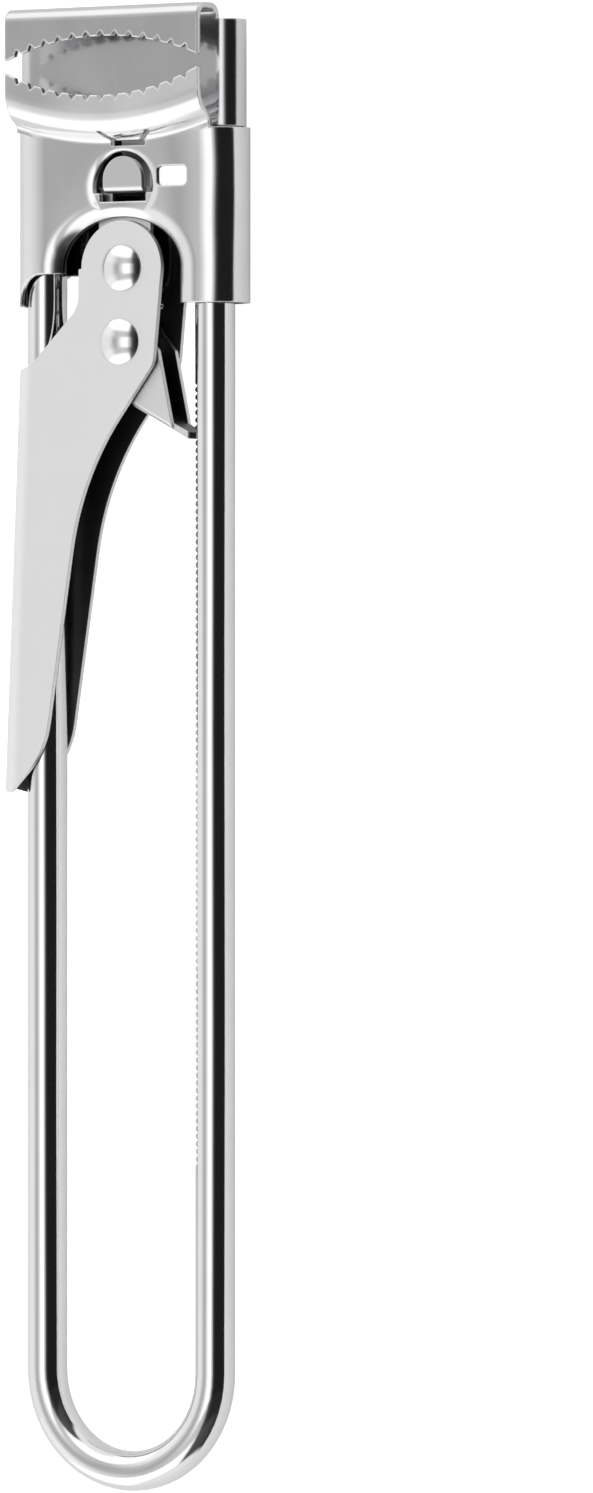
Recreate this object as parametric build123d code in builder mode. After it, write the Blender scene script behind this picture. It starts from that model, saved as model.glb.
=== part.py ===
from build123d import *
from math import asin, cos, degrees, hypot, radians, sin, sqrt, tan
import os

# Adjustable jar lifter, lying on its back with the jaws shut.
# X: across the tool, Y: along it towards the jaws, Z: up, out of its front.
# The origin is the middle of the slider's flat back, which rests on the table.

# ---- driving dimensions, millimetres ----
sheet = 0.8                  # thickness of every bent sheet piece
wire_d = 5.5                 # handle wire
leg_spacing = 27.4           # between the axes of the two wire legs
leg_length = 185.0           # straight part of each leg
tooth_pitch = 1.04           # rack on the inner side of the right leg
tooth_depth = 0.7
tooth_land = 0.12            # flat crest left between two notches
rack_length = 108.0
rack_top_drop = 49.5         # rack's upper end below the wire's end
rack_turn = 20.0             # degrees that the rack's notches face forward

crimp_clear = 0.02           # fixed jaw's curls round the wire
plate_clear = 0.92           # slider's plate in front of the wire
lever_clear = 0.1            # lever's cheeks beside the wire, each side
back_clear = 0.15            # slider's back flanges behind the lever
side_play = 0.55             # slider sits this far towards the rack
curl_slack = 0.25            # each slider curl stands nearer the middle than the leg

slider_height = 19.5         # back flanges, also the plate's left half
skirt = 4.4                  # right half of the plate and both curls reach lower
jaw_height = 14.65           # fixed jaw's curls
stop_gap = 0.15              # between the slider and the fixed jaw when shut
back_seam_left = 1.4         # open seam between the slider's back flanges
back_seam_right = 7.4
jaw_seam = 7                 # half the gap between the fixed jaw's back flanges
jaw_press = 3.8              # thickness of the wire's ends, pressed flat inside the fixed jaw
jaw_left = 1.0               # bend's middle outside the left wire's middle
jaw_right = 1.86             # the same at the rack leg

lip_width = 31.4             # both gripping lips
lip_shift = -0.15            # lips' middle, towards the rack
lip_reach = 7.5              # lip's face in front of the wires' plane
hook_rise = 2.1              # fixed jaw's flat top above the wires' ends
hook_bend = 1.9              # outer radius of its two bends
upper_grip_rise = 12.55      # highest point of the upper teeth above the curls' lower edge
upper_grip_r = 43.0
lower_grip_rise = 4.6        # lowest point of the lower teeth above the slider's upper edge
lower_grip_r = 37.0
lower_lip_depth = 1.7        # flat of the lower lip below its lowest tooth
lip_fold_r = 46.5            # curve of the fold under the lip, seen from the front
shelf_slope = 58.0           # degrees that the shelf rises from the plate to the lip
shelf_bend = 4.6             # outer radius where the shelf turns into the lip
plate_bend = 1.1             # inner radius where the plate turns into the shelf
grip_pitch = 2.3
grip_tooth_depth = 0.75
grip_teeth = 13

pivot_x = 0.75               # lever pivot
pivot_y = -9.15
pawl_dx = -0.35              # pawl rivet from the lever pivot
pawl_dy = -10.1
rivet_r = 1.6
rivet_clear = 0.05           # rivet in its holes
rivet_head_r = 3.2
rivet_head_h = 1.1
rivet_flat_r = 0.4           # flat struck on the middle of the head
rivet_tail_r = 2.6
rivet_tail_h = 0.7
head_play = 0.06             # rivet head over the lever that turns under it

head_r = 6.5                 # lever's round head
arch_side = 3.1              # arch in the slider's plate, beside the head
arch_top = 0.45              # and above it
rim_side = 3.0               # pressed band round the arch
rim_top = 2.5
rim_drop = 0.85              # depth of the pressed dish round the arch
window_rim = 1.3             # pressed band beside the window
window_rim_top = 0.6         # and above it
window_drop = 0.22           # depth of the pressed dish round the window
dish_steps = 8               # facets across each dish between its edge and its opening
bracket_clear = 0.1          # pivot bracket inside the lever's cheeks
bracket_ear_r = 4.2
bracket_lift = 1.2           # bracket's web above the window's lower edge
window_x = 1.45              # round-topped window in the slider's plate
window_r = 4.8
window_y = 2.0
window_foot = 0.1            # window's lower edge below the slider's middle
window_foot_width = 7.6
window_foot_height = 1.1
flap_width = 6.3             # bracket's flap inside the window
flap_top = 6.1
flap_bend = 1.1
slot_x = 9.45
slot_y = 3.25
slot_width = 4.9
slot_height = 2.7
slot_corner = 0.7
bracket_slot_width = 5.4     # bend relief in the bracket's front ear, under the flap
bracket_slot_drop = 0.4
tab_x = 2.45                 # tab lanced free in the foot of the shelf
tab_top_width = 7.0
tab_foot_width = 2.7
tab_height = 1.3
tab_drop = 0.2               # its foot below the fold between plate and shelf
lance = 0.7                  # width of the cuts at its sides
slit_width = 5.4             # cut along its foot
slit_height = 0.7
relief_edge = 1.3            # strip of the left curl kept beside the lever's relief
tail_notch_r = 3.2           # notch in the back flange for the pivot rivet's tail

spine_play = 0.15            # at the shoulder the spine's axis stands this far outside the leg's
spine_slope = 2.4            # degrees that the spine leans away from the wire
shoulder_drop = 13.6         # shoulder below the pivot
shoulder_r = 5.0
neck_width = 6.95            # pivot to the neck's left edge
neck_drop = 5.2              # where the neck's left edge turns to the shoulder
neck_r = 4.0
cheek_width = 5.2            # pivot to the right-hand corner of the cheeks
cheek_drop = 13.2
cheek_r = 3.0
waist_x = -6.65              # where the cheeks' slanted edge turns along the spine
waist_drop = 28.6
waist_r = 40.0
tip_x = -12.6                # inner corner of the tip
tip_drop = 66.3
tip_r = 12.0
heel_x = -18.6
heel_drop = 72.3
heel_r = 1.5
pawl_clear = 0.25            # pawl beside the lever's cheeks, each side
pawl_gap = 0.25              # pawl's tip from the crests of the rack
pawl_tip_drop = 13.4         # pawl's tip below its rivet
pawl_web_slope = 27.5        # degrees
pawl_ear_r = 3.6
pawl_heel_x = 1.5            # ends of the cheeks' lower edge, from the pawl rivet
pawl_toe_x = 8.0
pawl_side_x = 5.6            # right-hand corner of the cheeks
pawl_side_drop = 1.2
tongue_half = 2.2            # half width of the tongue that reaches the rack
bush_wall = 0.7
bush_clear = 0.1             # pawl bush inside the pawl's cheeks, each side
spring_wire = 0.5
spring_turns = 4
spring_pitch = 0.58
spring_gap = 0.1             # coil round its bush
spring_leg_down = 6.0        # leg hooked into the pawl
spring_leg_up = 5.0          # leg hooked into the lever
spring_hole_r = 0.35

# ---- places worked out from them ----
wire_r = wire_d / 2
leg_x = leg_spacing / 2
lever_inner = wire_r + lever_clear                 # half widths about the wires' plane
lever_outer = lever_inner + sheet
jaw_outer = jaw_press / 2 + crimp_clear + sheet
jaw_spacing = leg_spacing + jaw_left + jaw_right
front_inner = wire_r + plate_clear
front_outer = front_inner + sheet
back_inner = lever_outer + back_clear
back_outer = back_inner + sheet
wire_z = back_outer                                # the slider's back lies on the table
jaw_middle = ((jaw_right - jaw_left) / 2, wire_z)
front_z = wire_z + front_outer
lip_z = wire_z + lip_reach
slider_top = slider_height / 2
slider_foot = -slider_height / 2 - skirt
jaw_foot = slider_top + stop_gap
wire_end = jaw_foot + jaw_height
hook_top = wire_end + hook_rise
bend_y = wire_end - leg_length
upper_grip_y = jaw_foot + upper_grip_rise
lower_grip_y = slider_top + lower_grip_rise
lip_fold_y = lower_grip_y - lower_lip_depth        # in the middle
pawl_x = pivot_x + pawl_dx
pawl_y = pivot_y + pawl_dy
ear_outer = lever_inner - bracket_clear
ear_inner = ear_outer - sheet
pawl_outer = lever_inner - pawl_clear
pawl_inner = pawl_outer - sheet
hole_r = rivet_r + rivet_clear


def across(y):
    """Section plane at y: local X is X, local Y is Z. Extrude by a negative amount to go up Y."""
    return Plane.XZ.offset(-y)


def arc_drop(radius, half_width):
    """How far an arc of this radius falls from its middle to half_width."""
    return radius - sqrt(radius**2 - half_width**2)


def save(piece, name):
    piece.part.label = name
    export_step(piece.part, "parts/" + name + ".step")
    print(name, "volume", round(piece.part.volume, 2), "solids", len(piece.part.solids()))


os.makedirs("parts", exist_ok=True)

# ---- wire handle: one bent wire with a rack filed into its right leg ----
notch_width = tooth_pitch - tooth_land
rack_count = int(rack_length / tooth_pitch)
rack_mid = wire_end - rack_top_drop - rack_count * tooth_pitch / 2
forward = radians(rack_turn)
rack = Plane(
    origin=(leg_x, 0, wire_z),
    x_dir=(cos(forward), 0, -sin(forward)),
    z_dir=(sin(forward), 0, cos(forward)),
)
with BuildPart() as wire_handle:
    with BuildLine(Plane.XY.offset(wire_z)) as loop:
        left_leg = Line((-leg_x, wire_end), (-leg_x, bend_y))
        ThreePointArc((-leg_x, bend_y), (0, bend_y - leg_x), (leg_x, bend_y))
        Line((leg_x, bend_y), (leg_x, wire_end))
    with BuildSketch(Plane(origin=left_leg @ 0, z_dir=left_leg % 0)):
        Circle(wire_r)
    sweep(path=loop.wires()[0])
    with BuildSketch(across(jaw_foot)):
        with Locations(jaw_middle):
            Rectangle(2 * jaw_spacing, 2 * wire_d)
            SlotOverall(jaw_spacing + jaw_press, jaw_press, mode=Mode.SUBTRACT)
    extrude(amount=-2 * jaw_height, mode=Mode.SUBTRACT)
    with BuildSketch(rack):
        with Locations((-wire_r, rack_mid)):
            with GridLocations(tooth_pitch, tooth_pitch, 1, rack_count):
                Polygon(
                    (-tooth_depth, notch_width),
                    (tooth_depth, 0),
                    (-tooth_depth, -notch_width),
                    align=None,
                )
    extrude(amount=wire_d, both=True, mode=Mode.SUBTRACT)
save(wire_handle, "wire_handle")


def grip_cut(radius, side):
    """Adds to a sketch the disc that hollows a lip's edge, with its teeth. side is 1 above the disc."""
    span = degrees(grip_pitch / radius) * (grip_teeth - 1)
    first = 90 * side - span / 2
    Circle(radius)
    with PolarLocations(radius, grip_teeth, start_angle=first, angular_range=span, endpoint=True):
        Polygon(
            (-grip_tooth_depth, grip_pitch * 0.5),
            (grip_tooth_depth, 0),
            (-grip_tooth_depth, -grip_pitch * 0.5),
            align=None,
        )


def wrap(spacing, outer, middle, seam):
    """Adds to a section the sheet wrapped round both legs, open along a seam at the back."""
    with Locations(middle):
        SlotOverall(spacing + 2 * outer, 2 * outer)
        SlotOverall(spacing + 2 * (outer - sheet), 2 * (outer - sheet), mode=Mode.SUBTRACT)
    with Locations(((seam[0] + seam[1]) / 2, middle[1] - outer)):
        Rectangle(seam[1] - seam[0], 3 * sheet, mode=Mode.SUBTRACT)


# ---- fixed upper jaw: crimped round both wire ends, hooked forward over the top ----
jaw_plate_z = wire_z + jaw_outer - sheet / 2
hook_radius = min(hook_bend, hook_rise) - sheet / 2
upper_lip_foot = upper_grip_y - arc_drop(upper_grip_r, lip_width / 2) - sheet / 2
with BuildPart() as upper_jaw:
    with BuildSketch(across(jaw_foot)):
        wrap(jaw_spacing, jaw_outer, jaw_middle, (-jaw_seam, jaw_seam))
    extrude(amount=-jaw_height)
    with BuildSketch(Plane.YZ.offset(lip_shift)):
        with BuildLine():
            FilletPolyline(
                (wire_end - sheet, jaw_plate_z),
                (hook_top - sheet / 2, jaw_plate_z),
                (hook_top - sheet / 2, lip_z - sheet / 2),
                (upper_lip_foot, lip_z - sheet / 2),
                radius=hook_radius,
            )
        trace(line_width=sheet)
    extrude(amount=lip_width / 2, both=True)
    with BuildSketch(Plane.XY.offset(lip_z - 2 * sheet)):
        with Locations((lip_shift, upper_grip_y - upper_grip_r)):
            grip_cut(upper_grip_r, 1)
    extrude(amount=3 * sheet, mode=Mode.SUBTRACT)
save(upper_jaw, "upper_jaw")

# ---- slider: plate and two curls from one sheet, ending in the curved lower jaw ----
curl_r = (front_outer + back_outer) / 2
curl_spacing = leg_spacing - 2 * curl_slack
lip_axis_y = lip_fold_y + lip_fold_r
strip_r = hypot(lip_axis_y - slider_top, lip_width / 2)   # meets the curls' upper edge at the lip's ends
lip_tip_r = lip_fold_r - lower_lip_depth - arc_drop(lower_grip_r, lip_width / 2) - sheet
half_slope = radians(shelf_slope / 2)
shelf_top_r = lip_fold_r + (shelf_bend - sheet / 2) * tan(half_slope)
shelf_foot_r = shelf_top_r + (lip_z - front_z) / tan(2 * half_slope)
plate_end_r = shelf_foot_r + (plate_bend + sheet / 2) * tan(half_slope)
half_turn = degrees(asin(lip_width / 2 / lip_tip_r)) + 1
turn_start = radians(-90 - half_turn)
turn_x = (cos(turn_start), sin(turn_start), 0)
turn_z = (turn_x[1], -turn_x[0], 0)
with BuildPart() as lower_jaw_strip:
    with BuildSketch(Plane(origin=(lip_shift, lip_axis_y, 0), x_dir=turn_x, z_dir=turn_z)):
        with BuildLine():
            FilletPolyline(
                (strip_r, front_z - sheet / 2),
                (shelf_foot_r, front_z - sheet / 2),
                (shelf_top_r, lip_z - sheet / 2),
                (lip_tip_r, lip_z - sheet / 2),
                radius=[plate_bend + sheet / 2, shelf_bend - sheet / 2],
            )
        trace(line_width=sheet)
    revolve(axis=Axis((lip_shift, lip_axis_y, 0), (0, 0, 1)), revolution_arc=2 * half_turn)
    with BuildSketch():
        with Locations((lip_shift, slider_top)):
            Rectangle(lip_width, 2 * strip_r)
    extrude(amount=2 * lip_z, mode=Mode.INTERSECT)
    with BuildSketch(Plane.XY.offset(lip_z - 2 * sheet)):
        with Locations((lip_shift, lower_grip_y + lower_grip_r)):
            grip_cut(lower_grip_r, -1)
    extrude(amount=3 * sheet, mode=Mode.SUBTRACT)

foot_y = -slider_height / 2                        # lower edge of the back flanges
flat_left = side_play - curl_spacing / 2           # where the flat plate turns into its left curl
relief_x = flat_left - curl_r + relief_edge
arch_half = head_r + arch_side
arch_rise = head_r + arch_top
tab_y = lip_axis_y - shelf_foot_r - tab_drop


def arch(half, rise):
    """Adds to a sketch the arch over the pivot, open through the slider's lower edge."""
    with Locations((pivot_x, pivot_y)):
        Ellipse(half, rise)
        Rectangle(2 * half, pivot_y - slider_foot + skirt, align=(Align.CENTER, Align.MAX))


def dishes(level):
    """The hollows that the presswork sinks round the arch and round the window, from that level down."""
    stages = [1 - step / dish_steps for step in range(dish_steps + 1)]
    with BuildPart() as round_arch:
        for left in stages:
            with BuildSketch(Plane.XY.offset(level - rim_drop * (1 - sin(radians(90 * left))))):
                arch(arch_half + rim_side * left, arch_rise + rim_top * left)
        loft(ruled=True)
    with BuildPart() as round_window:
        for left in stages:
            with BuildSketch(Plane.XY.offset(level - window_drop * (1 - sin(radians(90 * left))))):
                with Locations((window_x, window_y)):
                    Ellipse(window_r + window_rim * left, window_r + window_rim_top * left)
        loft(ruled=True)
    return round_arch.part, round_window.part


with BuildPart() as slider_body:
    with BuildSketch(across(slider_foot)):
        wrap(curl_spacing, curl_r, (side_play, curl_r), (back_seam_left, back_seam_right))
    extrude(amount=-(slider_top - slider_foot))
    # the plate ends in a curve, where the shelf begins
    with BuildSketch(Plane.XY.offset(front_z - sheet - plate_clear / 2)):
        with Locations((lip_shift, lip_axis_y)):
            Circle(plate_end_r)
    extrude(amount=wire_z, mode=Mode.SUBTRACT)
    add(lower_jaw_strip.part)
    # the back flanges end higher than the curls
    with BuildSketch():
        with Locations((side_play, foot_y)):
            Rectangle(curl_spacing, 2 * skirt, align=(Align.CENTER, Align.MAX))
        with Locations((pivot_x, pivot_y)):
            Circle(tail_notch_r)
    extrude(amount=wire_z - curl_r / 2, mode=Mode.SUBTRACT)
    for hollow in dishes(front_z - sheet):
        add(hollow)
    for hollow in dishes(front_z):
        add(hollow, mode=Mode.SUBTRACT)
    # the dish's straight sides end with the plate
    with BuildSketch():
        with Locations((pivot_x, slider_foot)):
            Rectangle(4 * arch_half, 4 * skirt, align=(Align.CENTER, Align.MAX))
    extrude(amount=2 * wire_z, mode=Mode.SUBTRACT)
    # left corner cut away for the lever's swing
    with BuildSketch():
        with Locations((relief_x, foot_y)):
            relief = Rectangle(pivot_x - relief_x, 2 * skirt, align=(Align.MIN, Align.MAX))
        fillet(relief.vertices().sort_by_distance((relief_x, foot_y))[0], skirt * 0.99)
    extrude(amount=2 * wire_z, mode=Mode.SUBTRACT)
    # arch, window and slot
    with BuildSketch(Plane.XY.offset(wire_z)):
        arch(arch_half, arch_rise)
        with Locations((slot_x, slot_y)):
            RectangleRounded(slot_width, slot_height, slot_corner)
        with Locations((window_x, -window_foot)):
            Rectangle(window_foot_width, window_y, align=(Align.CENTER, Align.MIN))
    extrude(amount=2 * wire_z, mode=Mode.SUBTRACT)
    with BuildSketch(Plane.XY.offset(wire_z)):
        with Locations((window_x, window_y)):
            Circle(window_r)
        with Locations((window_x, window_foot_height)):
            Rectangle(2 * window_r, 2 * window_r, align=(Align.CENTER, Align.MAX), mode=Mode.SUBTRACT)
    extrude(amount=2 * wire_z, mode=Mode.SUBTRACT)
    # cuts that free the tab's foot and sides
    with BuildSketch(Plane.XY.offset(front_z - 2 * sheet)):
        with Locations((tab_x, tab_y)):
            Rectangle(slit_width, slit_height, align=(Align.CENTER, Align.MAX))
            for side in (-1, 1):
                Polygon(
                    (side * tab_foot_width / 2, -slit_height / 2),
                    (side * tab_top_width / 2, tab_height),
                    (side * (tab_top_width / 2 + lance), tab_height),
                    (side * (tab_foot_width / 2 + lance), -slit_height / 2),
                    align=None,
                )
    extrude(amount=lip_reach, mode=Mode.SUBTRACT)
save(slider_body, "slider_body")

# ---- pivot bracket: two ears inside the lever, a web, and a flap hooked into the slider's window ----
web_y = -window_foot + bracket_lift + sheet / 2
flange_right = back_seam_left - sheet / 4
with BuildPart() as pivot_bracket:
    with BuildSketch(Plane.XY.offset(wire_z - ear_outer)):
        with Locations((pivot_x, pivot_y)):
            Circle(bracket_ear_r)
            Rectangle(2 * bracket_ear_r, web_y + sheet / 2 - pivot_y, align=(Align.CENTER, Align.MIN))
    extrude(amount=2 * ear_outer)
    with BuildSketch(Plane.XY.offset(wire_z - ear_inner)):
        with Locations((pivot_x, web_y - sheet / 2)):
            Rectangle(4 * bracket_ear_r, 6 * bracket_ear_r, align=(Align.CENTER, Align.MAX))
    extrude(amount=2 * ear_inner, mode=Mode.SUBTRACT)
    with BuildSketch(Plane.YZ.offset(window_x)):
        with BuildLine():
            FilletPolyline(
                (web_y, wire_z),
                (web_y, front_z - sheet / 2),
                (flap_top, front_z - sheet / 2),
                radius=flap_bend - sheet / 2,
            )
        trace(line_width=sheet)
    extrude(amount=flap_width / 2, both=True)
    # round top of the flap
    with BuildSketch(Plane.XY.offset(front_z - 2 * sheet)):
        with Locations((window_x, flap_top)):
            Rectangle(2 * flap_width, flap_width / 2, align=(Align.CENTER, Align.MAX))
        with Locations((window_x, flap_top - flap_width / 2)):
            Circle(flap_width / 2, mode=Mode.SUBTRACT)
    extrude(amount=3 * sheet, mode=Mode.SUBTRACT)
    # bend relief under the flap
    with BuildSketch(Plane.XY.offset(wire_z)):
        with Locations((window_x, web_y - sheet / 2)):
            Rectangle(bracket_slot_width, bracket_lift + bracket_slot_drop, align=(Align.CENTER, Align.MAX))
    extrude(amount=wire_z, mode=Mode.SUBTRACT)
    # flange welded to the slider's left back flange
    with BuildSketch(Plane.YZ.offset(flange_right)):
        with BuildLine():
            FilletPolyline(
                (web_y, wire_z),
                (web_y, sheet * 1.5),
                (slider_top - sheet, sheet * 1.5),
                radius=flap_bend - sheet / 2,
            )
        trace(line_width=sheet)
    extrude(amount=-(flange_right - pivot_x + bracket_ear_r))
    with BuildSketch():
        with Locations((pivot_x, pivot_y)):
            Circle(hole_r)
    extrude(amount=2 * wire_z, mode=Mode.SUBTRACT)
save(pivot_bracket, "pivot_bracket")


def rivet(x, y, play):
    """Domed rivet through the lever's cheeks, its heads standing off them by play."""
    front = wire_z + lever_outer + play
    back = wire_z - lever_outer - play
    crown = front + rivet_head_h
    with BuildPart() as piece:
        with BuildSketch(Plane(origin=(x, y, 0), x_dir=(1, 0, 0), z_dir=(0, -1, 0))):
            with BuildLine():
                Polyline(
                    (0, crown),
                    (0, back - rivet_tail_h),
                    (rivet_tail_r * 0.8, back - rivet_tail_h),
                    (rivet_tail_r, back),
                    (rivet_r, back),
                    (rivet_r, front),
                    (rivet_head_r, front),
                )
                ThreePointArc(
                    (rivet_head_r, front),
                    (rivet_head_r * sin(radians(45)), front + rivet_head_h * 0.53),
                    (rivet_flat_r, crown),
                )
                Line((rivet_flat_r, crown), (0, crown))
            make_face()
        revolve(axis=Axis((x, y, 0), (0, 0, 1)))
    return piece


def bush(x, y, half_length):
    """Tube on a rivet, which keeps two ears apart."""
    with BuildPart() as piece:
        with BuildSketch(Plane.XY.offset(wire_z - half_length)):
            with Locations((x, y)):
                Circle(hole_r + bush_wall)
                Circle(hole_r, mode=Mode.SUBTRACT)
        extrude(amount=2 * half_length)
    return piece


pivot_rivet = rivet(pivot_x, pivot_y, head_play)
save(pivot_rivet, "pivot_rivet")
pivot_bush = bush(pivot_x, pivot_y, ear_inner)
save(pivot_bush, "pivot_bush")

# ---- lever: a channel whose round spine wraps the left wire leg ----
shoulder_y = pivot_y - shoulder_drop
lean = radians(spine_slope)
spine = Plane(
    origin=(-leg_x - spine_play, shoulder_y, wire_z),
    x_dir=(cos(lean), -sin(lean), 0),
    z_dir=(-sin(lean), -cos(lean), 0),
)
hook_y = pawl_y + spring_leg_up                    # spring's hole in the back cheek
coil_r = hole_r + bush_wall + spring_gap + spring_wire / 2


def channel(half_width):
    """Adds to a section the channel: round at the spine, straight and open to the right."""
    Circle(half_width)
    Rectangle(2 * leg_spacing, 2 * half_width, align=(Align.MIN, Align.CENTER))


with BuildPart() as lever:
    with BuildSketch():
        with BuildLine():
            FilletPolyline(
                (pivot_x - leg_spacing, shoulder_y),
                (pivot_x - neck_width - shoulder_drop + neck_drop, shoulder_y),
                (pivot_x - neck_width, pivot_y - neck_drop),
                (pivot_x - neck_width, pivot_y),
                (pivot_x + head_r, pivot_y),
                (pivot_x + cheek_width, pivot_y - cheek_drop),
                (pivot_x + waist_x, pivot_y - waist_drop),
                (pivot_x + tip_x, pivot_y - tip_drop),
                (pivot_x + heel_x, pivot_y - heel_drop),
                (pivot_x - leg_spacing, pivot_y - tip_drop),
                radius=[
                    sheet,
                    shoulder_r,
                    neck_r,
                    sheet / 4,
                    sheet / 4,
                    cheek_r,
                    waist_r,
                    tip_r,
                    heel_r,
                    sheet,
                ],
                close=True,
            )
        make_face()
        with Locations((pivot_x, pivot_y)):
            Circle(head_r)
    extrude(amount=2 * wire_z)
    with BuildSketch(spine):
        channel(lever_outer)
    extrude(amount=heel_drop, both=True, mode=Mode.INTERSECT)
    with BuildSketch(spine):
        channel(lever_inner)
    extrude(amount=heel_drop, both=True, mode=Mode.SUBTRACT)
    with BuildSketch():
        with Locations((pivot_x, pivot_y), (pawl_x, pawl_y)):
            Circle(hole_r)
    extrude(amount=2 * wire_z, mode=Mode.SUBTRACT)
    with BuildSketch():
        with Locations((pawl_x + coil_r, hook_y)):
            Circle(spring_hole_r)
    extrude(amount=wire_z, mode=Mode.SUBTRACT)
save(lever, "lever")

# ---- pawl: a small channel whose web runs on as a tongue to the rack ----
tip_dx = leg_x - wire_r - pawl_gap - pawl_x
web_height = sheet / cos(radians(pawl_web_slope))


def web_dy(dx):
    """Height of the web's lower face over the pawl rivet, dx to its right."""
    return (tip_dx - dx) * tan(radians(pawl_web_slope)) - pawl_tip_drop


with BuildPart() as pawl:
    with BuildSketch(Plane.XY.offset(wire_z - pawl_outer)):
        with Locations((pawl_x, pawl_y)):
            Circle(pawl_ear_r)
            Polygon(
                (-pawl_ear_r, 0),
                (pawl_heel_x, web_dy(pawl_heel_x)),
                (pawl_toe_x, web_dy(pawl_toe_x)),
                (pawl_side_x, -pawl_side_drop),
                (pawl_ear_r * sin(radians(45)), pawl_ear_r * sin(radians(45))),
                align=None,
            )
    extrude(amount=2 * pawl_outer)
    with BuildSketch(Plane.XY.offset(wire_z - pawl_inner)):
        with Locations((pawl_x, pawl_y)):
            Polygon(
                (-2 * pawl_ear_r, web_dy(-2 * pawl_ear_r) + web_height),
                (tip_dx, web_dy(tip_dx) + web_height),
                (tip_dx, 2 * pawl_ear_r),
                (-2 * pawl_ear_r, 2 * pawl_ear_r),
                align=None,
            )
    extrude(amount=2 * pawl_inner, mode=Mode.SUBTRACT)
    web_middle = (pawl_heel_x + pawl_toe_x) / 2
    for side in (-1, 1):
        corner = (pawl_x + web_middle, pawl_y + web_dy(web_middle), wire_z + side * pawl_outer)
        fillet(edges().sort_by_distance(corner)[0], sheet)
    with BuildSketch(Plane.XY.offset(wire_z - tongue_half)):
        with Locations((pawl_x, pawl_y)):
            Polygon(
                (pawl_heel_x, web_dy(pawl_heel_x)),
                (tip_dx, web_dy(tip_dx)),
                (tip_dx, web_dy(tip_dx) + web_height),
                (pawl_heel_x, web_dy(pawl_heel_x) + web_height),
                align=None,
            )
    extrude(amount=2 * tongue_half)
    with BuildSketch():
        with Locations((pawl_x, pawl_y)):
            Circle(hole_r)
    extrude(amount=2 * wire_z, mode=Mode.SUBTRACT)
    with BuildSketch():
        with Locations((pawl_x + coil_r, pawl_y - spring_leg_down)):
            Circle(spring_hole_r)
    extrude(amount=wire_z, mode=Mode.SUBTRACT)
save(pawl, "pawl")

pawl_rivet = rivet(pawl_x, pawl_y, 0)
save(pawl_rivet, "pawl_rivet")
pawl_bush = bush(pawl_x, pawl_y, pawl_inner - bush_clear)
save(pawl_bush, "pawl_bush")

# ---- torsion spring: coil on the pawl's bush, one leg hooked into the pawl and one into the lever ----
coil_height = spring_turns * spring_pitch
coil_low = wire_z - coil_height / 2
coil_high = wire_z + coil_height / 2
coil_x = pawl_x + coil_r
with BuildPart() as pawl_spring:
    with BuildLine(Plane((pawl_x, pawl_y, coil_low))):
        coil = Helix(spring_pitch, coil_height, coil_r)
    with BuildSketch(Plane(origin=coil @ 0, z_dir=coil % 0)):
        Circle(spring_wire / 2)
    sweep(path=coil, is_frenet=True)
    for level, run, end in (
        (coil_low, -spring_leg_down, wire_z - pawl_inner - sheet / 2),
        (coil_high, spring_leg_up, wire_z - lever_inner - sheet / 2),
    ):
        with BuildLine() as leg:
            FilletPolyline(
                (coil_x, pawl_y - spring_wire * run / spring_leg_up, level),
                (coil_x, pawl_y + run, level),
                (coil_x, pawl_y + run, end),
                radius=spring_wire,
            )
        with BuildSketch(Plane(origin=leg.line @ 0, z_dir=leg.line % 0)):
            Circle(spring_wire / 2 - spring_gap / 10)
        sweep(path=leg.line)
save(pawl_spring, "pawl_spring")
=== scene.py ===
from math import cos, pi, radians, sin

import bpy
from mathutils import Matrix, Vector

# The tool lies on its back: +X across, +Y along the legs to the jaws, +Z out of its front.
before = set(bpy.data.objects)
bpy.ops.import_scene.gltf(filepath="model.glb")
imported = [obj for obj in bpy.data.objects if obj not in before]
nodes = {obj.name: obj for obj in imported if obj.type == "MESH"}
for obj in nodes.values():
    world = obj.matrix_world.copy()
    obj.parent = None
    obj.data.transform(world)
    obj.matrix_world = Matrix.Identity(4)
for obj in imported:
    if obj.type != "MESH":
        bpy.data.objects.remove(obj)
bpy.context.view_layer.update()
wireZ = 0.0046                # metres from the table to the wire's middle
print("frame loaded")

# The camera looks down on the tool, turned towards the leg with the rack.
camera = {
    "turn": 32,               # degrees from straight above
    "distance": 1.45,
    "lens": 257.2,
    "sensorHeight": 36,
    "clipEnd": 20,
    "aim": (0.0268, -0.0747, wireZ),      # the point that it looks at
}


def placeCamera(look):
    turn = radians(look["turn"])
    towards = Vector((sin(turn), 0, cos(turn)))
    across = Vector((cos(turn), 0, -sin(turn)))
    eye = Vector(look["aim"]) + towards * look["distance"]
    body = bpy.data.cameras.new("productCamera")
    body.sensor_fit = "VERTICAL"
    body.sensor_height = look["sensorHeight"]
    body.lens = look["lens"]
    body.clip_end = look["clipEnd"]
    stand = bpy.data.objects.new("productCamera", body)
    stand.matrix_world = Matrix((
        (across.x, 0, towards.x, eye.x),
        (across.y, 1, towards.y, eye.y),
        (across.z, 0, towards.z, eye.z),
        (0, 0, 0, 1),
    ))
    bpy.context.scene.collection.objects.link(stand)
    return stand


bpy.context.scene.camera = placeCamera(camera)
bpy.context.scene.view_settings.view_transform = "Standard"
print("camera placed")

# Nodes stand in rows, in the order in which they are made.
nodeRows = {"length": 6, "across": 220, "down": 340}


def addNode(tree, kind, inputs=None, **settings):
    # inputs: {name or number: a socket to link or a plain value}
    row, column = divmod(len(tree.nodes), nodeRows["length"])
    node = tree.nodes.new(kind)
    node.location = (column * nodeRows["across"], -row * nodeRows["down"])
    for name, value in settings.items():
        setattr(node, name, value)
    for key, value in (inputs or {}).items():
        if isinstance(value, bpy.types.NodeSocket):
            tree.links.new(value, node.inputs[key])
        else:
            node.inputs[key].default_value = value
    return node


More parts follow.
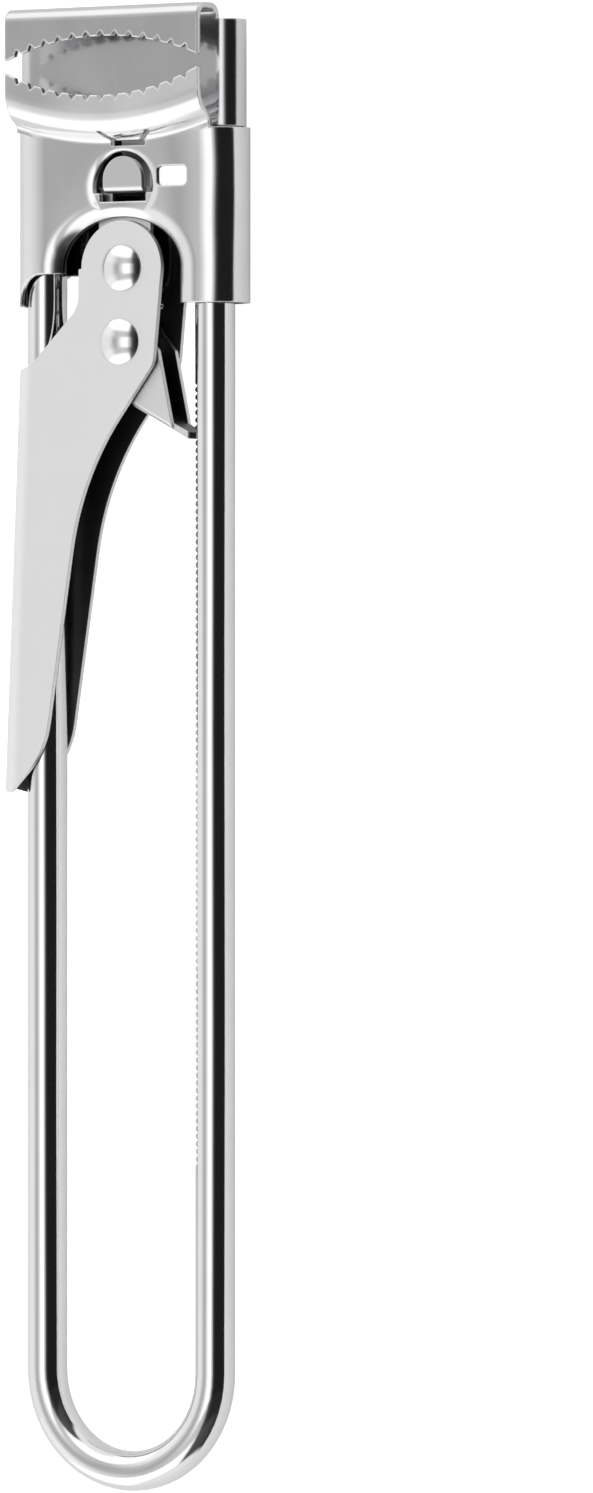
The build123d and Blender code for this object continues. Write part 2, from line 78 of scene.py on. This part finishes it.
def addMath(tree, operation, *inputs, clamp=False):
    node = addNode(tree, "ShaderNodeMath", dict(enumerate(inputs)), operation=operation, use_clamp=clamp)
    return node.outputs[0]


def addSquares(tree, first, second):
    # first * first + second * second
    return addMath(tree, "MULTIPLY_ADD", first, first, addMath(tree, "MULTIPLY", second, second))


def addRange(tree, value, begin, finish, interpolation="LINEAR"):
    # 0 up to begin, 1 from finish on
    inputs = {"Value": value, "From Min": begin, "From Max": finish}
    node = addNode(tree, "ShaderNodeMapRange", inputs, clamp=True, interpolation_type=interpolation)
    return node.outputs["Result"]


def addMix(tree, factor, first, second):
    inputs = {"Factor": factor, "A": first, "B": second}
    return addNode(tree, "ShaderNodeMix", inputs, data_type="RGBA").outputs["Result"]


def addNoise(tree, vector, stretch, detail, turn=(0, 0, 0)):
    # noise with its own scale along each axis
    mapping = addNode(tree, "ShaderNodeMapping", {"Vector": vector, "Rotation": turn, "Scale": stretch})
    inputs = {"Vector": mapping.outputs["Vector"], "Scale": 1, "Detail": detail}
    return addNode(tree, "ShaderNodeTexNoise", inputs).outputs["Fac"]


def addBump(tree, height, normal, distance, strength=1):
    inputs = {"Height": height, "Normal": normal, "Distance": distance, "Strength": strength}
    return addNode(tree, "ShaderNodeBump", inputs).outputs["Normal"]


def grey(value):
    return (value, value, value, 1)


def beginGroup(name, inputs, outputs):
    # inputs: {name: (socket type, default)}, outputs: {name: socket type}
    group = bpy.data.node_groups.new(name, "ShaderNodeTree")
    for label, (kind, default) in inputs.items():
        socket = group.interface.new_socket(name=label, in_out="INPUT", socket_type=kind)
        if default is not None:
            socket.default_value = default
    for label, kind in outputs.items():
        group.interface.new_socket(name=label, in_out="OUTPUT", socket_type=kind)
    return group, addNode(group, "NodeGroupInput").outputs


def endGroup(group, results):
    addNode(group, "NodeGroupOutput", results)
    return group


# Scales are in waves per metre.
grainLook = {
    "stretch": (9000, 320, 9000),
    "detail": 3,
    "height": 0.00001,
    "cloudScale": 120,
    "cloudDetail": 4,
    "cloudRoughness": 0.55,
    "scratchTurn": (0.2, 0.1, 0.5),
    "scratchStretch": (2600, 130, 2600),
    "scratchDetail": 1,
    "scratchFrom": 0.66,      # noise above this is a scratch, and is deepest at scratchTo
    "scratchTo": 0.74,
}


def makeSheetGrain(look):
    # rolled and polished steel: long faint grain, cloudy handling marks, a few fine scratches
    group, given = beginGroup(
        "sheetGrain",
        {
            "Vector": ("NodeSocketVector", None),
            "Light Tone": ("NodeSocketColor", grey(0.9)),
            "Dark Tone": ("NodeSocketColor", grey(0.8)),
            "Roughness": ("NodeSocketFloat", 0.1),
            "Roughness Spread": ("NodeSocketFloat", 0.05),
            "Grain Amount": ("NodeSocketFloat", 0.5),
            "Scratch Amount": ("NodeSocketFloat", 0.3),
        },
        {"Color": "NodeSocketColor", "Roughness": "NodeSocketFloat", "Height": "NodeSocketFloat"},
    )
    grain = addNoise(group, given["Vector"], look["stretch"], look["detail"])
    clouds = addNode(group, "ShaderNodeTexNoise", {
        "Vector": given["Vector"],
        "Scale": look["cloudScale"],
        "Detail": look["cloudDetail"],
        "Roughness": look["cloudRoughness"],
    }).outputs["Fac"]
    streaks = addNoise(
        group, given["Vector"], look["scratchStretch"], look["scratchDetail"], look["scratchTurn"]
    )
    scratches = addRange(group, streaks, look["scratchFrom"], look["scratchTo"])

    # roughness = base + spread * (clouds + grain - 1) + spread * scratches
    uneven = addMath(group, "SUBTRACT", addMath(group, "ADD", clouds, grain), 1)
    rough = addMath(group, "MULTIPLY_ADD", uneven, given["Roughness Spread"], given["Roughness"])
    rough = addMath(group, "MULTIPLY_ADD", scratches, given["Roughness Spread"], rough, clamp=True)
    ridges = addMath(group, "MULTIPLY", grain, given["Grain Amount"])
    grooves = addMath(group, "MULTIPLY", scratches, given["Scratch Amount"])
    return endGroup(group, {
        "Color": addMix(group, clouds, given["Dark Tone"], given["Light Tone"]),
        "Roughness": rough,
        "Height": addMath(group, "SUBTRACT", ridges, grooves),
    })


# The mask begins and is full at these cosines of the turn away from the flat face.
edgeLook = {"samples": 6, "begin": 0.995, "full": 0.8}


def makeEdgeRound(look):
    # sheared and tumbled edges: a rounded normal, and a mask of where it turns for the painted edge
    # highlight
    group, given = beginGroup(
        "edgeRound",
        {"Radius": ("NodeSocketFloat", 0.0002)},
        {"Normal": "NodeSocketVector", "Edge": "NodeSocketFloat"},
    )
    bevel = addNode(group, "ShaderNodeBevel", {"Radius": given["Radius"]}, samples=look["samples"])
    face = addNode(group, "ShaderNodeNewGeometry")
    normals = {0: bevel.outputs["Normal"], 1: face.outputs["Normal"]}
    facing = addNode(group, "ShaderNodeVectorMath", normals, operation="DOT_PRODUCT")
    edge = addRange(group, facing.outputs["Value"], look["begin"], look["full"])
    return endGroup(group, {"Normal": bevel.outputs["Normal"], "Edge": edge})


def makeShallowWaves():
    # nothing that was rolled, bent and buffed is quite flat
    group, given = beginGroup(
        "shallowWaves",
        {"Vector": ("NodeSocketVector", None), "Stretch": ("NodeSocketVector", (100, 100, 100))},
        {"Height": "NodeSocketFloat"},
    )
    return endGroup(group, {"Height": addNoise(group, given["Vector"], given["Stretch"], detail=0)})


def makeInsideShadeMask():
    # 1 on a bent sheet's inner faces, where shade is painted: inside a slot shape about a line, seen along
    # the tool
    group, given = beginGroup(
        "insideMask",
        {
            "Vector": ("NodeSocketVector", None),
            "Middle": ("NodeSocketVector", None),
            "Turn": ("NodeSocketFloat", 0),
            "Half Length": ("NodeSocketFloat", 0.01),
            "Half Width": ("NodeSocketFloat", 0.003),
        },
        {"Mask": "NodeSocketFloat"},
    )
    spin = {"Vector": given["Vector"], "Center": given["Middle"], "Angle": given["Turn"]}
    turned = addNode(group, "ShaderNodeVectorRotate", spin, rotation_type="Z_AXIS")
    ends = {0: turned.outputs["Vector"], 1: given["Middle"]}
    offset = addNode(group, "ShaderNodeVectorMath", ends, operation="SUBTRACT")
    split = addNode(group, "ShaderNodeSeparateXYZ", {"Vector": offset.outputs["Vector"]})
    side = addMath(group, "ABSOLUTE", split.outputs["X"])
    outward = addMath(group, "MAXIMUM", addMath(group, "SUBTRACT", side, given["Half Length"]), 0)
    reach = addMath(group, "SQRT", addSquares(group, outward, split.outputs["Z"]))
    return endGroup(group, {"Mask": addMath(group, "LESS_THAN", reach, given["Half Width"])})


# The last shallow form of the slider's presswork, in metres, with its slopes in metres per metre.
plateForm = {
    "rackSide": {"begin": 0.0080, "steepest": 0.0138, "finish": 0.0156, "slope": 0.11},
    "leverSide": {"begin": -0.0108, "steepest": -0.0128, "finish": -0.0140, "slope": 0.16},
    "hollow": {"x": 0.0012, "top": 0.0025, "width": 0.0085, "depth": 0.0007},
    "rim": {
        "x": 0.00075,
        "y": -0.00915,
        "half": 0.0096,       # half the arch's width, and its rise above y
        "rise": 0.00695,
        "reach": 0.33,        # how far the rim goes out, as a share of both
        "depth": 0.00025,
    },
    "plateTop": 0.0092,       # heights between which the plate's form gives way to the lip's
    "lipBottom": 0.0102,
    "lipHalf": 0.0157,
    "lipSlope": 0.14,
}


def addFall(tree, x, side):
    # the plate tips over from begin to steepest, and levels out again from there to finish
    tipLength = abs(side["steepest"] - side["begin"])
    settleLength = abs(side["finish"] - side["steepest"])
    tipping = addRange(tree, x, side["begin"], side["steepest"])
    settling = addRange(tree, x, side["finish"], side["steepest"])
    tipping = addMath(tree, "MULTIPLY", tipping, tipping)
    settling = addMath(tree, "MULTIPLY", settling, settling)
    tipped = addMath(tree, "MULTIPLY", tipping, side["slope"] * tipLength / 2)
    return addMath(tree, "MULTIPLY_ADD", settling, -side["slope"] * settleLength / 2, tipped)


def addHollow(tree, x, y, hollow):
    # a soft trough along the line that runs up through the arch and the window
    aside = addMath(tree, "SUBTRACT", x, hollow["x"])
    above = addMath(tree, "MAXIMUM", addMath(tree, "SUBTRACT", y, hollow["top"]), 0)
    spread = addMath(tree, "MULTIPLY", addSquares(tree, aside, above), -1 / hollow["width"] ** 2)
    return addMath(tree, "MULTIPLY", addMath(tree, "EXPONENT", spread), hollow["depth"])


def addRim(tree, x, y, rim):
    # the pressed rim steepens towards the arch
    aside = addMath(tree, "DIVIDE", addMath(tree, "SUBTRACT", x, rim["x"]), rim["half"])
    above = addMath(tree, "MAXIMUM", addMath(tree, "SUBTRACT", y, rim["y"]), 0)
    above = addMath(tree, "DIVIDE", above, rim["rise"])
    outward = addMath(tree, "SQRT", addSquares(tree, aside, above))
    near = addRange(tree, outward, 1 + rim["reach"], 1)
    return addMath(tree, "MULTIPLY", addMath(tree, "MULTIPLY", near, near), rim["depth"])


def makePressedForm(form):
    # the slider's plate sinks round the arch and falls towards both curls, and the lip above it
    # rolls back a little towards the rack
    group, given = beginGroup(
        "pressedForm",
        {"Vector": ("NodeSocketVector", None)},
        {
            "Height": "NodeSocketFloat",
            "On Plate": "NodeSocketFloat",
            "Lip Height": "NodeSocketFloat",
            "On Lip": "NodeSocketFloat",
        },
    )
    x, y, z = addNode(group, "ShaderNodeSeparateXYZ", {"Vector": given["Vector"]}).outputs
    falls = addMath(group, "ADD", addFall(group, x, form["rackSide"]), addFall(group, x, form["leverSide"]))
    sunk = addMath(group, "ADD", addHollow(group, x, y, form["hollow"]), addRim(group, x, y, form["rim"]))
    depth = addMath(group, "ADD", falls, sunk)
    onPlate = addRange(group, z, form["lipBottom"], form["plateTop"])
    along = addMath(group, "ADD", x, form["lipHalf"])
    along = addMath(group, "MULTIPLY", along, along)
    return endGroup(group, {
        "Height": addMath(group, "MULTIPLY", depth, -1),
        "On Plate": onPlate,
        "Lip Height": addMath(group, "MULTIPLY", along, form["lipSlope"] / form["lipHalf"] / 4),
        "On Lip": addMath(group, "SUBTRACT", 1, onPlate),
    })


sheetGrain = makeSheetGrain(grainLook)
edgeRound = makeEdgeRound(edgeLook)
shallowWaves = makeShallowWaves()
insideMask = makeInsideShadeMask()
pressedForm = makePressedForm(plateForm)


def addInsideShade(tree, place, colour, inside):
    # painted shade: the inner faces get a dark colour where they lie in shadow
    mask = addNode(tree, "ShaderNodeGroup", node_tree=insideMask, inputs={
        "Vector": place,
        "Middle": inside["middle"],
        "Turn": inside["turn"],
        "Half Length": inside["halfLength"],
        "Half Width": inside["halfWidth"],
    })
    return addMix(tree, mask.outputs["Mask"], colour, (*inside["colour"], 1))


def makeSteel(name, look):
    material = bpy.data.materials.new(name)
    material.use_nodes = True
    tree = material.node_tree
    tree.nodes.clear()
    place = addNode(tree, "ShaderNodeTexCoord").outputs["Object"]
    grain = addNode(tree, "ShaderNodeGroup", node_tree=sheetGrain, inputs={
        "Vector": place,
        "Light Tone": (*look["light"], 1),
        "Dark Tone": (*look["dark"], 1),
        "Roughness": look["roughness"],
        "Roughness Spread": look["spread"],
        "Grain Amount": look["grain"],
        "Scratch Amount": look["scratches"],
    })
    edges = addNode(tree, "ShaderNodeGroup", {"Radius": look["edgeRadius"]}, node_tree=edgeRound)
    # a lighter tone along the edges: painted highlight
    colour = addMix(tree, edges.outputs["Edge"], grain.outputs["Color"], (*look["edge"], 1))
    # a darker colour on the inner faces: painted shade
    if "inside" in look:
        colour = addInsideShade(tree, place, colour, look["inside"])

    stretch = [1 / size for size in look["waveSize"]]
    waves = addNode(tree, "ShaderNodeGroup", {"Vector": place, "Stretch": stretch}, node_tree=shallowWaves)
    normal = addBump(tree, waves.outputs["Height"], edges.outputs["Normal"], look["waveHeight"])
    if "pressed" in look:
        form = addNode(tree, "ShaderNodeGroup", {"Vector": place}, node_tree=look["pressed"])
        normal = addBump(tree, form.outputs["Height"], normal, 1, form.outputs["On Plate"])
        normal = addBump(tree, form.outputs["Lip Height"], normal, 1, form.outputs["On Lip"])
    normal = addBump(tree, grain.outputs["Height"], normal, grainLook["height"], look["bump"])
    shader = addNode(tree, "ShaderNodeBsdfPrincipled", {
        "Base Color": colour,
        "Metallic": 1,
        "Roughness": grain.outputs["Roughness"],
        "Normal": normal,
    })
    addNode(tree, "ShaderNodeOutputMaterial", {"Surface": shader.outputs["BSDF"]})
    return material


# Where the inner faces of each bent sheet lie, and the dark colour painted on them as their shade.
sliderInsideShade = {
    "middle": (0.00055, 0, 0.00447), "turn": 0, "halfLength": 0.01345, "halfWidth": 0.0038,
    "colour": (0.16, 0.16, 0.165),
}
leverInsideShade = {
    "middle": (0.0462, -0.0252, wireZ), "turn": radians(2.4), "halfLength": 0.06, "halfWidth": 0.00295,
    "colour": (0.10, 0.10, 0.105),
}
bracketInsideShade = {
    "middle": (0, 0, wireZ), "turn": 0, "halfLength": 0.1, "halfWidth": 0.0021,
    "colour": (0.08, 0.08, 0.085),
}
pawlInsideShade = {
    "middle": (0, 0, wireZ), "turn": 0, "halfLength": 0.1, "halfWidth": 0.00185,
    "colour": (0.12, 0.12, 0.125),
}
steels = {
    "polishedWire": {
        "light": (0.91, 0.91, 0.91), "dark": (0.85, 0.85, 0.855), "edge": (0.95, 0.95, 0.95),
        "edgeRadius": 0.00012, "roughness": 0.07, "spread": 0.03,
        "grain": 0.4, "scratches": 0.4, "bump": 0.15,
        "waveSize": (0.016, 0.045, 0.016), "waveHeight": 0.0006,
    },
    "jawSheet": {
        "light": (0.78, 0.78, 0.785), "dark": (0.67, 0.67, 0.68), "edge": (0.98, 0.98, 0.98),
        "edgeRadius": 0.00045, "roughness": 0.16, "spread": 0.05,
        "grain": 0.5, "scratches": 0.4, "bump": 0.2,
        "waveSize": (0.012, 0.012, 0.012), "waveHeight": 0.0004,
    },
    "sliderSheet": {
        "light": (0.88, 0.88, 0.885), "dark": (0.78, 0.78, 0.79), "edge": (0.95, 0.95, 0.95),
        "edgeRadius": 0.0004, "roughness": 0.12, "spread": 0.05,
        "grain": 0.5, "scratches": 0.4, "bump": 0.2,
        "waveSize": (0.012, 0.012, 0.012), "waveHeight": 0.0005,
        "inside": sliderInsideShade, "pressed": pressedForm,
    },
    "bracketSheet": {
        "light": (0.87, 0.87, 0.875), "dark": (0.79, 0.79, 0.80), "edge": (0.95, 0.95, 0.95),
        "edgeRadius": 0.00016, "roughness": 0.3, "spread": 0.05,
        "grain": 0.5, "scratches": 0.4, "bump": 0.2,
        "waveSize": (0.01, 0.01, 0.01), "waveHeight": 0.0002,
        "inside": bracketInsideShade,
    },
    "leverSheet": {
        "light": (0.99, 0.99, 0.99), "dark": (0.96, 0.96, 0.965), "edge": (0.99, 0.99, 0.99),
        "edgeRadius": 0.00016, "roughness": 0.50, "spread": 0.06,
        "grain": 0.9, "scratches": 0.3, "bump": 0.5,
        "waveSize": (0.012, 0.03, 0.012), "waveHeight": 0.0006,
        "inside": leverInsideShade,
    },
    "pawlSheet": {
        "light": (0.97, 0.97, 0.97), "dark": (0.92, 0.92, 0.925), "edge": (0.97, 0.97, 0.97),
        "edgeRadius": 0.00016, "roughness": 0.38, "spread": 0.05,
        "grain": 0.5, "scratches": 0.4, "bump": 0.2,
        "waveSize": (0.01, 0.01, 0.01), "waveHeight": 0.0002,
        "inside": pawlInsideShade,
    },
    "rivetSteel": {
        "light": (0.92, 0.92, 0.92), "dark": (0.84, 0.84, 0.84), "edge": (0.95, 0.95, 0.95),
        "edgeRadius": 0.00016, "roughness": 0.13, "spread": 0.03,
        "grain": 0.3, "scratches": 0.3, "bump": 0.2,
        "waveSize": (0.01, 0.01, 0.01), "waveHeight": 0.0001,
    },
    "springSteel": {
        "light": (0.62, 0.62, 0.63), "dark": (0.45, 0.45, 0.46), "edge": (0.7, 0.7, 0.7),
        "edgeRadius": 0.0001, "roughness": 0.28, "spread": 0.08,
        "grain": 0.6, "scratches": 0.4, "bump": 0.3,
        "waveSize": (0.01, 0.01, 0.01), "waveHeight": 0.0001,
    },
}
materials = {name: makeSteel(name, look) for name, look in steels.items()}
finishes = {
    "wire_handle": "polishedWire",
    "upper_jaw": "jawSheet",
    "slider_body": "sliderSheet",
    "pivot_bracket": "bracketSheet",
    "pivot_rivet": "rivetSteel",
    "pivot_bush": "springSteel",
    "lever": "leverSheet",
    "pawl": "pawlSheet",
    "pawl_rivet": "rivetSteel",
    "pawl_bush": "springSteel",
    "pawl_spring": "springSteel",
}
for nodeName, finish in finishes.items():
    for slot in nodes[nodeName].material_slots:
        slot.material = materials[finish]
print("steel finishes made")

# Pale floor under the tool.
floor = {
    "size": 6,
    "gap": 0.0002,            # below the tool, so that the two never share a face
    "colour": 0.86,
    "roughness": 0.9,
    "specular": 0.1,
    "glow": 0.9,              # its own light as the camera sees it
    "bounce": 0.25,           # and as the steel reflects it
}


def makeFloor(look):
    half = look["size"] / 2
    corners = [(x * half, y * half, -look["gap"]) for x, y in ((-1, -1), (1, -1), (1, 1), (-1, 1))]
    mesh = bpy.data.meshes.new("floor")
    mesh.from_pydata(corners, [], [(0, 1, 2, 3)])
    material = bpy.data.materials.new("paleFloor")
    material.use_nodes = True
    tree = material.node_tree
    tree.nodes.clear()
    rays = addNode(tree, "ShaderNodeLightPath")
    bounce = addMath(tree, "MULTIPLY", rays.outputs["Is Glossy Ray"], look["bounce"])
    shader = addNode(tree, "ShaderNodeBsdfPrincipled", {
        "Base Color": grey(look["colour"]),
        "Roughness": look["roughness"],
        "Specular IOR Level": look["specular"],
        "Emission Color": grey(1),
        "Emission Strength": addMath(
            tree, "MULTIPLY_ADD", rays.outputs["Is Camera Ray"], look["glow"], bounce
        ),
    })
    addNode(tree, "ShaderNodeOutputMaterial", {"Surface": shader.outputs["BSDF"]})
    mesh.materials.append(material)
    plane = bpy.data.objects.new("floor", mesh)
    bpy.context.scene.collection.objects.link(plane)
    return plane


floorObject = makeFloor(floor)
print("floor laid")

# Studio round the tool, in rings of stops: (degrees from overhead to the rack's side, brightness).
# The middle ring is what the tool sees square across itself, with the softbox overhead. Each zone
# takes over from the ring before it as the direction's part along the tool goes between two values.
studio = {
    "strength": 1.14,
    "middle": [
        (-180, 0.60), (-95, 0.76), (-56, 0.76), (-32, 0.37), (-20, 0.56), (-7, 1.04), (8, 1.10),
        (14, 0.60), (24, 0.05), (34, 0.012), (84, 0.012), (98, 0.10), (110, 0.68), (138, 0.68),
        (145, 1.05), (151, 1.05), (158, 0.62), (180, 0.60),
    ],
    "zones": [
        {                     # next to the softbox
            "between": (0.22, 0.30),
            "stops": [
                (-180, 0.60), (-95, 0.84), (-56, 0.84), (-32, 0.48), (-8, 0.56), (8, 0.5), (20, 0.06),
                (34, 0.02), (84, 0.02), (98, 0.12), (110, 0.68), (180, 0.60),
            ],
        },
        {                     # towards the tool's two ends
            "between": (0.46, 0.60),
            "stops": [
                (-180, 0.7), (-95, 0.8), (-84, 1.15), (8, 1.05), (18, 0.08), (90, 0.03), (108, 0.5),
                (180, 0.7),
            ],
        },
        {                     # the walls past them
            "between": (0.84, 0.92),
            "stops": [(-180, 0.75), (180, 0.75)],
        },
    ],
}


def addRing(tree, around, stops):
    ring = addNode(tree, "ShaderNodeValToRGB", {"Fac": around})
    marks = ring.color_ramp.elements
    for index, (degree, bright) in enumerate(stops):
        place = (degree + 180) / 360
        # a new ramp comes with two marks
        mark = marks[index] if index < 2 else marks.new(place)
        mark.position = place
        mark.color = grey(bright)
    return ring.outputs["Color"]


def lightStudio(look):
    world = bpy.data.worlds.new("studio")
    world.use_nodes = True
    tree = world.node_tree
    tree.nodes.clear()
    direction = addNode(tree, "ShaderNodeTexCoord").outputs["Generated"]
    x, y, z = addNode(tree, "ShaderNodeSeparateXYZ", {"Vector": direction}).outputs
    around = addRange(tree, addMath(tree, "ARCTAN2", x, z), -pi, pi)
    along = addMath(tree, "ABSOLUTE", y)
    colour = addRing(tree, around, look["middle"])
    for zone in look["zones"]:
        share = addRange(tree, along, *zone["between"], interpolation="SMOOTHSTEP")
        colour = addMix(tree, share, colour, addRing(tree, around, zone["stops"]))
    light = addNode(tree, "ShaderNodeBackground", {"Color": colour, "Strength": look["strength"]})
    addNode(tree, "ShaderNodeOutputWorld", {"Surface": light.outputs["Background"]})
    return world


bpy.context.scene.world = lightStudio(studio)
print("studio lit")

bpy.context.view_layer.update()
